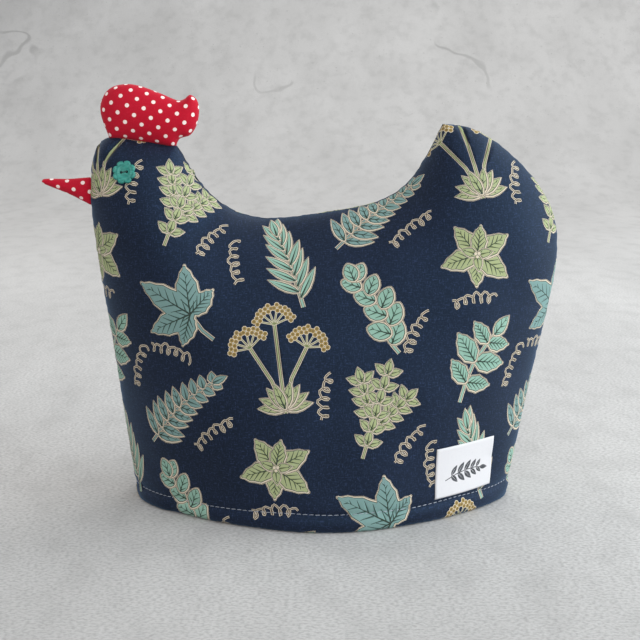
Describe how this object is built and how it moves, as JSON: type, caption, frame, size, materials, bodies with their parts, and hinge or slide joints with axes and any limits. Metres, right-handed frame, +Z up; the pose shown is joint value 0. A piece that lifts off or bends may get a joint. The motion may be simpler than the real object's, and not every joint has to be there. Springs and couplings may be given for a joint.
{
  "type": "tea cosy",
  "caption": "Padded cloth tea cosy in the shape of a hen, open at the hem, with a stuffed comb and beak, button eyes and a small bare cloth label.",
  "frame": {"origin": "on the surface the cosy stands on, under the middle of its bounding box", "axes": "+Z up, +X from the beak towards the tail, +Y from the front panel towards the back panel, so the front panel faces -Y"},
  "size_m": [0.2844, 0.1242, 0.2334],
  "materials": {
    "printed_cotton": "plain woven navy cotton with a print of herb sprigs, matte",
    "dotted_cotton": "plain woven red cotton with small off-white dots, matte",
    "teal_button": "moulded plastic, satin",
    "white_tape": "smooth white woven tape, bare"
  },
  "bodies": {
    "root": {"front_panel": "printed_cotton", "back_panel": "printed_cotton", "comb": "dotted_cotton", "beak": "dotted_cotton", "eye_button_front": "teal_button", "eye_button_back": "teal_button", "label": "white_tape"}
  },
  "joints": []
}
